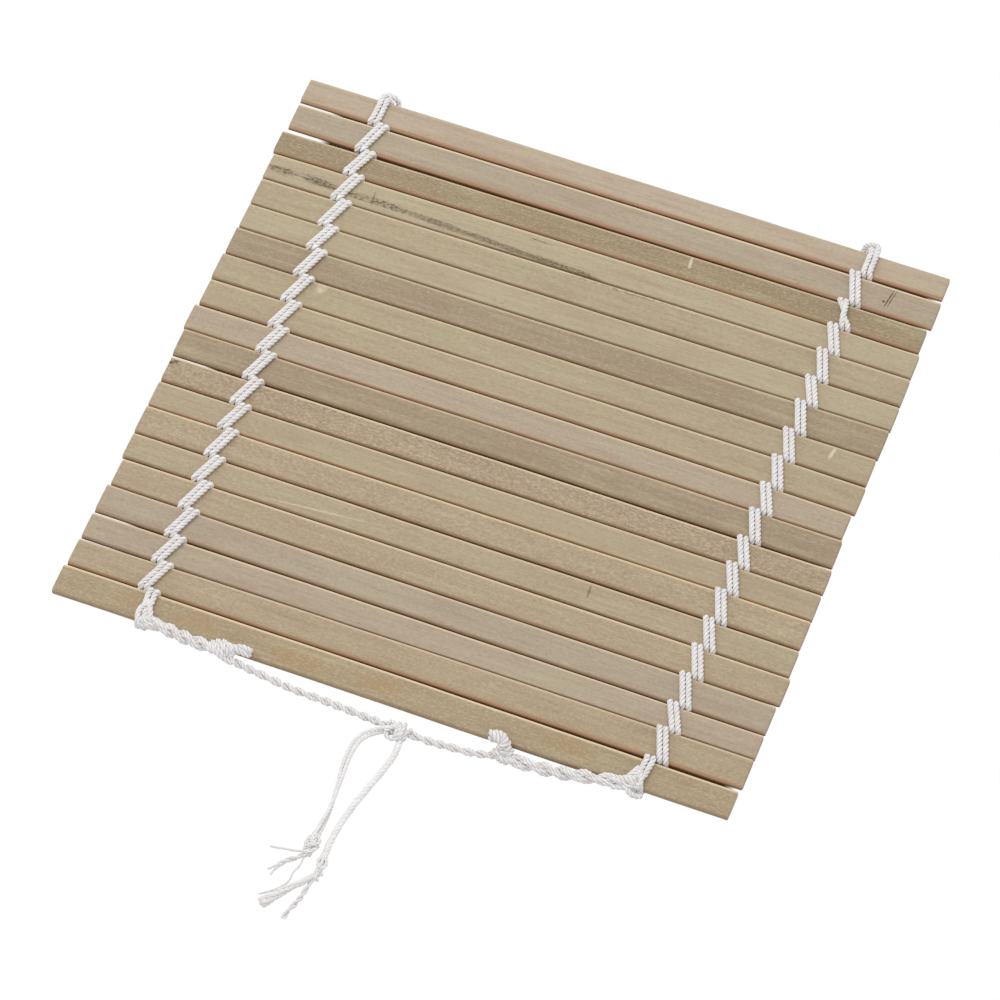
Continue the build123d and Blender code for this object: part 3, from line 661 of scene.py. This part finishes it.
def slat_section(half_width, half_height, round_off):
    """A rectangle with round corners, anticlockwise from its rear side: its y and z. Each corner is a quarter
    circle, and straight runs join the corners."""
    corner = np.radians([4, 26, 48, 70, 86])
    across, rise = [], []
    for quarter, (rear, upper) in enumerate(((1, 1), (-1, 1), (-1, -1), (1, -1))):
        turn = corner + quarter * np.pi / 2
        share = np.linspace(0, 1, 13 if quarter % 2 == 0 else 9)[1:-1]
        flat = np.full(len(share), 1.0)
        across += [rear * (half_width - round_off) + round_off * np.cos(turn),
                   rear * (half_width - round_off) * (1 - 2 * share) if quarter % 2 == 0
                   else rear * half_width * flat]
        rise += [upper * (half_height - round_off) + round_off * np.sin(turn),
                 upper * half_height * flat if quarter % 2 == 0
                 else upper * (half_height - round_off) * (1 - 2 * share)]
    return np.concatenate(across), np.concatenate(rise)


def slat_shell(place, look):
    """One slat. Its section is carried along x between its two edges, which are parabolas that also stray by
    a sum of three sines. The upper face rises by crown * (1 - y * y), with y from -1 to 1 across. The front
    side leans out by slant * (1 - |z|), with z from -1 to 1 up, so that it is widest at mid height. The last
    fifth of a millimetre at both ends draws in, as a broken sharp edge."""
    random = np.random.default_rng(place)
    low, high = np.array(SLAT_BOXES[place - 1])
    half_height = (high[2] - low[2]) / 2
    half_width = (high[1] - low[1]) / 2
    across, rise = slat_section(half_width, half_height, look.edge_round)
    share = across / half_width
    end_steps = np.array([0, 0.08, 0.18]) * MM
    along = np.concatenate([low[0] + end_steps, np.linspace(low[0] + 0.3 * MM, high[0] - 0.3 * MM, 119),
                            high[0] - end_steps[::-1]])
    shrink = np.zeros(len(along))
    shrink[:3] = np.array([0.22, 0.10, 0.03]) * MM
    shrink[-3:] = shrink[2::-1]
    waves = np.array([0.5, 0.3, 0.2]) * look.edge_wander
    rear, front = (edge + np.sum(waves * np.sin(2 * np.pi * (along[:, None] / np.array([0.21, 0.083, 0.037])
                                                             + random.random(3))), axis=1)
                   for edge in slat_edges(place, along))
    half = ((rear - front) / 2 - shrink)[:, None]
    y = ((rear + front) / 2)[:, None] + half * share
    level = np.clip(1 - np.abs(rise) / half_height, 0, 1)
    slant = look.side_slant * np.clip(slat_gap(place, along), 0, 2.3 * MM)
    y = y - slant[:, None] * level * (share < -0.9)
    z = (SLAT_BASE + SLAT_TOP) / 2 + rise * (1 - shrink[:, None] / half_height)
    z = z + np.where(rise > 0, look.crown * (1 - share ** 2), 0.0)
    turned = np.where(along < 0, *random.uniform(-0.02, 0.02, 2)) * (np.abs(along) > 0.1)
    x = np.clip(along[:, None] + turned[:, None] * half * share, low[0], high[0])
    # Distance round the section, so that fibres also run along the sides
    around = np.concatenate([[0], np.cumsum(np.hypot(np.diff(across), np.diff(rise)))])
    grain = np.stack([x, np.broadcast_to(around, x.shape), np.full(x.shape, place * 7.31)], axis=-1)
    tone = linear(BAMBOO_TONES[SLAT_TONES[place - 1]])[:3]
    on_side = np.clip(level / 0.12, 0, 1)
    # A highlight is painted along the rear edge of the upper face, as strong as each slat's entry says
    highlighted_edge = np.clip((share - 0.90) / 0.05, 0, 1) * (rise > 0) * (1 - np.clip(level / 0.3, 0, 1))
    rings = np.stack([x, y, z], axis=-1)
    return {"rings": rings, "grain_place": grain,
            "slat_tone": np.broadcast_to(tone, rings.shape),
            "speckle": np.full(x.shape, SLAT_SPECKLES[place - 1]),
            "split_side": np.broadcast_to(on_side * SLAT_SIDE_BROWNS[place - 1], x.shape),
            # Painted shade along the middle height of both long sides, weaker on the front slat
            "side_shade": np.broadcast_to(np.clip((level - 0.55) / 0.3, 0, 1) * (0.3 if place == 20 else 0.8),
                                          x.shape),
            "highlighted_edge": np.broadcast_to(highlighted_edge * SLAT_EDGE_HIGHLIGHTS[place - 1], x.shape)}


def leg_places(line_x):
    """The y of the middle of each gap where a line of stitches passes it."""
    return [(slat_edges(place, line_x)[1] + slat_edges(place + 1, line_x)[0]) / 2 for place in range(1, 20)]


def stitch_half(line_x, lean, offset, over_first):
    """Control points of one strand from the first gap to the last: down at the outer side of the line after
    it has passed over a slat, and up at the inner side after it has passed under one. On the third slat of
    the right line the two strands of the pair change places."""
    legs = leg_places(line_x)
    points = []
    for gap, y in enumerate(legs, start=1):
        over = (gap % 2 == 1) == over_first
        if over and gap == 3 and lean < 0:
            lift = 1.1 * MM if offset > 0 else 0.0
            points += [(line_x, (legs[1] + legs[2]) / 2 + ahead, OVER_HEIGHT + lift)
                       for ahead in (0.9 * MM, -0.9 * MM)]
            offset = -offset
        aside = lean * STITCH_SHIFT * (-1 if over else 1)
        x, arm_x = line_x + aside + offset, line_x + aside * ARM_SHARE + offset
        near, far = (OVER_HEIGHT, UNDER_HEIGHT) if over else (UNDER_HEIGHT, OVER_HEIGHT)
        points += [(arm_x, y + LEG_ARM, near), (x, y, near), (x, y, far), (arm_x, y - LEG_ARM, far)]
    return points, offset


def line_strands(line_x, lean, look):
    """The two whole strands of a line of stitches, each from its corner knot under and over the slats to the
    rear slat, round its rear edge in a loop, and back."""
    strands = []
    for side, reach in ((1, 4.3 * MM), (-1, 2.25 * MM)):
        out, out_offset = stitch_half(line_x, lean, -lean * side * PAIR_OFFSET, True)
        back, back_offset = stitch_half(line_x, lean, lean * side * PAIR_OFFSET, False)
        inner = line_x + lean * STITCH_SHIFT
        front = FRONT_EDGE - STRAND_RADIUS - 0.05 * MM
        out_x, back_x = inner + out_offset, inner + back_offset
        out += [(out_x, front + LEG_ARM, UNDER_HEIGHT), (out_x, front, UNDER_HEIGHT),
                (out_x, front, 4.6 * MM), (inner + out_offset * 0.6, front + 1.0 * MM, 6.2 * MM)]
        back += [(back_x, -108.5 * MM, OVER_HEIGHT), (inner + back_offset * 0.8, -111.8 * MM, 5.4 * MM),
                 (inner, -113.5 * MM, 5.6 * MM)]
        over_x, under_x = out[0][0], back[0][0]
        turn = REAR_EDGE + reach - STRAND_RADIUS
        across = under_x - over_x
        loop = [(over_x, 109.5 * MM, OVER_HEIGHT), (over_x, REAR_EDGE, OVER_HEIGHT + 0.1 * MM),
                (over_x + 0.08 * across, turn, OVER_HEIGHT - 0.2 * MM),
                (over_x + 0.75 * across, turn + 0.2 * MM, 4.0 * MM),
                (over_x + 1.0 * across, turn, 2.0 * MM), (under_x, REAR_EDGE + 0.4 * MM, UNDER_HEIGHT),
                (under_x, 109.0 * MM, UNDER_HEIGHT)]
        line = route_line(out[::-1] + loop + back, look.ring_step)
        strands.append(strand_shell(line, (1, 0, 0), STRAND_RADIUS, look.ply_pitch, seed=side * 0.7 + lean))
    return strands


class MAT_OT_stitches(bpy.types.Operator):
    """Make the cord stitches over and under every slat, and the cord that bends in every gap"""

    bl_idname = "rolling_mat.stitches"
    bl_label = "Cord Stitches"

    def execute(self, context):
        look = context.scene.rolling_mat_cord
        cotton = laid_cotton(look)
        on_slats = [[] for _ in SLAT_NAMES]
        for side, line_x, lean in (("left", -STITCH_LINE, 1), ("right", STITCH_LINE, -1)):
            strands = line_strands(line_x, lean, look)
            middles = [strand["rings"][..., 1].mean(axis=1) for strand in strands]
            legs = leg_places(line_x)
            bounds = [1.0, *legs, -1.0]
            for shells, behind, before in zip(on_slats, bounds, bounds[1:]):
                shells += [part_of(strand, kept) for strand, y in zip(strands, middles)
                           for kept in stretches((y < behind - LEG_ARM) & (y > before + LEG_ARM), 0)]
            for gap, y_leg in enumerate(legs, start=1):
                shells = [part_of(strand, kept) for strand, y in zip(strands, middles)
                          for kept in stretches(np.abs(y - y_leg) <= LEG_ARM, 1)]
                piece = closed_piece(f"cord_gap_{side}_{gap:02d}_{gap + 1:02d}", shells, cotton)
                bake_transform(piece)
        for name, shells in zip(SLAT_NAMES, on_slats):
            piece = closed_piece(f"cord_{name.replace('slat', 'stitches')}", shells, cotton)
            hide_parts(name.replace("slat", "stitches"))
            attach(piece, name)
        return {"FINISHED"}


def cord_bundle(line, hint, lays, radius, pitch, loose=0.0, **shape):
    """Strands laid into a cord: each lay is winding radius, pitch and count, and the next lay winds round
    every strand of the one before."""
    lines = [(line, 0.0)]
    for number, (stand_off, lay_pitch, count) in enumerate(lays):
        lines = [(wound(middle, hint, stand_off, lay_pitch, each / count + 0.13 * number + phase, loose),
                  each / count) for middle, phase in lines for each in range(count)]
    return [strand_shell(middle, hint, radius, pitch, seed=0.31 * number, **shape)
            for number, (middle, _) in enumerate(lines)]


def add_cord(name, shells, cotton):
    """A finished piece of cord that stands for a node of the front slat's body."""
    piece = closed_piece(f"cord_{name}", shells, cotton)
    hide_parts(name)
    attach(piece, "slat_20")
    return piece


class MAT_OT_edge_cords(bpy.types.Operator):
    """Make the ropes, the thin cords and the cut ends along the front edge"""

    bl_idname = "rolling_mat.edge_cords"
    bl_label = "Front Edge Cords"

    def execute(self, context):
        look = context.scene.rolling_mat_cord
        cotton = bpy.data.materials["laid cotton cord"]
        upward = (0, 0, 1)
        left_lays = [(1.15 * MM, 11.6 * MM, 2), (0.54 * MM, -13 * MM, 3)]
        right_lays = [(1.15 * MM, 14.5 * MM, 2), (0.56 * MM, -15 * MM, 3)]
        cord_lays = [(0.70 * MM, 9.2 * MM, 2)]
        ropes = [
            ("left_edge_rope", LEFT_EDGE_ROPE, left_lays, 0.80 * MM, 0.25, None),
            ("right_edge_rope", RIGHT_EDGE_ROPE, right_lays, 0.80 * MM, 0.35, 4.4 * MM),
            ("left_edge_cord", LEFT_EDGE_CORD, cord_lays, 0.74 * MM, 0.35, 2.8 * MM),
            ("right_edge_cord", RIGHT_EDGE_CORD, cord_lays, 0.74 * MM, 0.35, 2.8 * MM),
        ]
        for name, route, lays, radius, loose, diameter in ropes:
            line = route_line(route, look.ring_step)
            piece = add_cord(name, cord_bundle(line, upward, lays, radius, look.ply_pitch, loose), cotton)
        for name, route, stand_off, radius in (("left_cut_end", LEFT_CUT_END, 1.0, 1.08),
                                               ("right_cut_end", RIGHT_CUT_END, 1.15, 1.28)):
            line = route_line(route, look.ring_step)
            add_cord(name, cord_bundle(line, upward, [(stand_off * MM, 16 * MM, 3)], radius * MM,
                                       look.ply_pitch, domed=(False, True)), cotton)
        return {"FINISHED"}


class MAT_OT_knots(bpy.types.Operator):
    """Make the corner knots, the stop knots, the tie knot and the small knots of the tails"""

    bl_idname = "rolling_mat.knots"
    bl_label = "Knots"

    def execute(self, context):
        look = context.scene.rolling_mat_cord
        cotton = bpy.data.materials["laid cotton cord"]
        for name, (radius, routes) in KNOT_STRANDS.items():
            shells = [strand_shell(route_line(np.array(route) * MM, look.ring_step), None, radius * MM,
                                   look.ply_pitch, seed=1.3 * number, domed=(True, True))
                      for number, route in enumerate(routes)]
            filling, route = KNOT_CORES[name]
            core = route_line(np.array(route) * MM, look.ring_step)
            shells.append(strand_shell(core, None, filling * MM, look.ply_pitch, domed=(True, True)))
            add_cord(name, shells, cotton)
        return {"FINISHED"}


class MAT_OT_tails(bpy.types.Operator):
    """Make the two tails of the tie and their frayed ends"""

    bl_idname = "rolling_mat.tails"
    bl_label = "Tails and Frayed Ends"

    def execute(self, context):
        look = context.scene.rolling_mat_cord
        cotton = bpy.data.materials["laid cotton cord"]
        upward = (0, 0, 1)
        for name, frays in (("left_frayed_end", LEFT_FRAYS), ("right_frayed_end", RIGHT_FRAYS)):
            shells = []
            for number, (radius, stand_off, route) in enumerate(frays):
                line = route_line(np.array(route) * MM, look.ring_step)
                lays = [(stand_off * MM, 7.5 * MM, 2)] if stand_off else []
                shells += cord_bundle(line, upward, lays, radius * MM, 3.2 * MM, 0.6, sides=12,
                                      domed=(False, True), shade=0.75)
            if name == "right_frayed_end":
                line = route_line(RIGHT_THICK_FRAY, look.ring_step)
                spread = np.linspace(0.45, 1.15, len(line)) * MM
                body = np.interp(np.linspace(0, 1, len(line)), [0, 0.5, 0.85, 1], [0.5, 0.6, 0.9, 0.8]) * MM
                shells += cord_bundle(line, upward, [(spread, 26 * MM, 4)], body, 5 * MM, 0.5,
                                      domed=(False, True), shade=0.8)
            add_cord(name, shells, cotton)
        tails = [
            ("left", LEFT_TAIL, [(0.74 * MM, 70 * MM, 2)], 0.68 * MM, 3.9 * MM, 0.4),
            ("right", RIGHT_TAIL, [(0.52 * MM, 5.2 * MM, 3)], 0.68 * MM, 30 * MM, 0.0),
        ]
        for side, route, lays, radius, pitch, loose in tails:
            line = route_line(route, look.ring_step)
            piece = add_cord(f"{side}_tie_tail", cord_bundle(line, upward, lays, radius, pitch, loose,
                                                              shade=0.7), cotton)
        return {"FINISHED"}


class MAT_OT_stage(bpy.types.Operator):
    """Make the floor, the light and the camera"""

    bl_idname = "rolling_mat.stage"
    bl_label = "Stage"

    def execute(self, context):
        look = context.scene.rolling_mat_stage
        scene = context.scene
        scene.view_settings.view_transform = "Standard"
        make_floor(look)
        make_light(scene, look)
        make_camera(scene)
        return {"FINISHED"}


def make_floor(look):
    """A plain matt floor. It shows white where it lies open and dark where the slats close in over it,
    and it reflects little light up to the mat."""
    half = 3.0
    mesh = bpy.data.meshes.new("floor")
    mesh.from_pydata([(-half, -half, 0), (half, -half, 0), (half, half, 0), (-half, half, 0)], [],
                     [(0, 1, 2, 3)])
    material, tree = new_material("matt painted board")
    open_share = add_node(tree, "ShaderNodeAmbientOcclusion", {"Distance": 0.0045}, output=1, samples=16)
    spot = add_node(tree, "ShaderNodeTexCoord", {}, output=3)
    # The gaps let light in nearer the left end than the right end
    moved = add_node(tree, "ShaderNodeVectorMath", {0: spot, 1: (0.0045, 0, 0)}, operation="SUBTRACT")
    across = add_node(tree, "ShaderNodeVectorMath", {0: moved}, operation="ABSOLUTE")
    parts = [add_node(tree, "ShaderNodeSeparateXYZ", {"Vector": across}, output=axis) for axis in (0, 1)]
    # 1 on the floor under the slats, fading to 0 beside them and near their ends, which light reaches
    under_slats = [add_node(tree, "ShaderNodeMapRange",
                            {"Value": part, "From Min": edge, "From Max": edge - fade})
                   for part, edge, fade in zip(parts, (0.1140, 0.1145), (0.005, 0.0015))]
    under = add_node(tree, "ShaderNodeMath", {0: under_slats[0], 1: under_slats[1]}, operation="MINIMUM")
    dark_at = add_node(tree, "ShaderNodeMath", {0: under, 1: 0.28, 2: 0.04}, operation="MULTIPLY_ADD")
    white_at = add_node(tree, "ShaderNodeMath", {0: under, 1: 0.56, 2: 0.18}, operation="MULTIPLY_ADD")
    lit = add_node(tree, "ShaderNodeMapRange",
                   {"Value": open_share, "From Min": dark_at, "From Max": white_at},
                   interpolation_type="SMOOTHSTEP")
    shade = add_node(tree, "ShaderNodeMix", {0: under, 6: tuple(look.contact_shade), 7: tuple(look.gap_shade)},
                     output=2, data_type="RGBA")
    seen = add_node(tree, "ShaderNodeMix", {0: lit, 6: shade, 7: tuple(look.floor_white)},
                    output=2, data_type="RGBA")
    glow = add_node(tree, "ShaderNodeEmission", {"Color": seen, "Strength": 1.0})
    matt = add_node(tree, "ShaderNodeBsdfDiffuse", {"Color": linear("d8d8d8")})
    straight = add_node(tree, "ShaderNodeLightPath", {}, output="Is Camera Ray")
    for ray in ("Is Glossy Ray", "Is Transmission Ray"):
        other = add_node(tree, "ShaderNodeLightPath", {}, output=ray)
        straight = add_node(tree, "ShaderNodeMath", {0: straight, 1: other}, operation="MAXIMUM")
    shader = add_node(tree, "ShaderNodeMixShader", {0: straight, 1: matt, 2: glow})
    add_node(tree, "ShaderNodeOutputMaterial", {"Surface": shader})
    mesh.materials.append(material)
    floor = bpy.data.objects.new("floor", mesh)
    bpy.context.scene.collection.objects.link(floor)


def make_light(scene, look):
    """Even white surroundings and one wide soft lamp above, behind and to the left."""
    world = bpy.data.worlds.new("studio")
    world.use_nodes = True
    tree = world.node_tree
    tree.nodes.clear()
    seen = add_node(tree, "ShaderNodeLightPath", {}, output=0)
    strength = add_node(tree, "ShaderNodeMapRange", {"Value": seen, "To Min": 0.79, "To Max": 1.0})
    background = add_node(tree, "ShaderNodeBackground", {"Color": linear("ffffff"), "Strength": strength})
    add_node(tree, "ShaderNodeOutputWorld", {"Surface": background})
    scene.world = world
    lamp = bpy.data.lights.new("soft_lamp", "AREA")
    lamp.size = 0.9
    lamp.energy = look.lamp_power
    holder = bpy.data.objects.new("soft_lamp", lamp)
    holder.location = (-0.45, 0.55, 1.25)
    holder.rotation_mode = "QUATERNION"
    holder.rotation_quaternion = (-Vector(holder.location)).to_track_quat("-Z", "Y")
    scene.collection.objects.link(holder)


def make_camera(scene):
    """A long lens that looks down at the mat from the front right."""
    eye, aim = Vector((0.3358, -0.88675, 1.4470)), Vector((0.0064, -0.02835, 0.00415))
    lens = bpy.data.cameras.new("camera")
    lens.sensor_width = 36
    lens.lens = 182.447
    lens.clip_end = 10
    camera = bpy.data.objects.new("camera", lens)
    camera.location = eye
    camera.rotation_mode = "QUATERNION"
    camera.rotation_quaternion = (aim - eye).to_track_quat("-Z", "Y")
    scene.collection.objects.link(camera)
    scene.camera = camera


class MAT_PT_panel(bpy.types.Panel):
    """Settings and steps of the rolling mat"""

    bl_idname = "MAT_PT_panel"
    bl_label = "Rolling Mat"
    bl_space_type = "VIEW_3D"
    bl_region_type = "UI"
    bl_category = "Rolling Mat"

    def draw(self, context):
        layout = self.layout
        for group in (context.scene.rolling_mat_bamboo, context.scene.rolling_mat_cord,
                      context.scene.rolling_mat_stage):
            box = layout.box()
            for name in group.__annotations__:
                box.prop(group, name)
        for step in STEPS:
            layout.operator(step.bl_idname)


SETTINGS = {"rolling_mat_bamboo": RollingMatBamboo, "rolling_mat_cord": RollingMatCord,
            "rolling_mat_stage": RollingMatStage}
STEPS = (MAT_OT_stage, MAT_OT_slats, MAT_OT_stitches, MAT_OT_edge_cords, MAT_OT_knots, MAT_OT_tails)


def register():
    """Register the settings, the operators and the panel."""
    for group in (*SETTINGS.values(), *STEPS, MAT_PT_panel):
        bpy.utils.register_class(group)
    for name, group in SETTINGS.items():
        setattr(bpy.types.Scene, name, bpy.props.PointerProperty(type=group))


def unregister():
    """Take away what register added."""
    for name in SETTINGS:
        delattr(bpy.types.Scene, name)
    for group in (MAT_PT_panel, *reversed(STEPS), *reversed(SETTINGS.values())):
        bpy.utils.unregister_class(group)


def main():
    """Register the settings and steps, then build the mat."""
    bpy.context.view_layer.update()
    register()
    bpy.ops.rolling_mat.stage()
    bpy.ops.rolling_mat.slats()
    bpy.ops.rolling_mat.stitches()
    bpy.ops.rolling_mat.edge_cords()
    bpy.ops.rolling_mat.knots()
    bpy.ops.rolling_mat.tails()


if __name__ == "__main__":
    main()
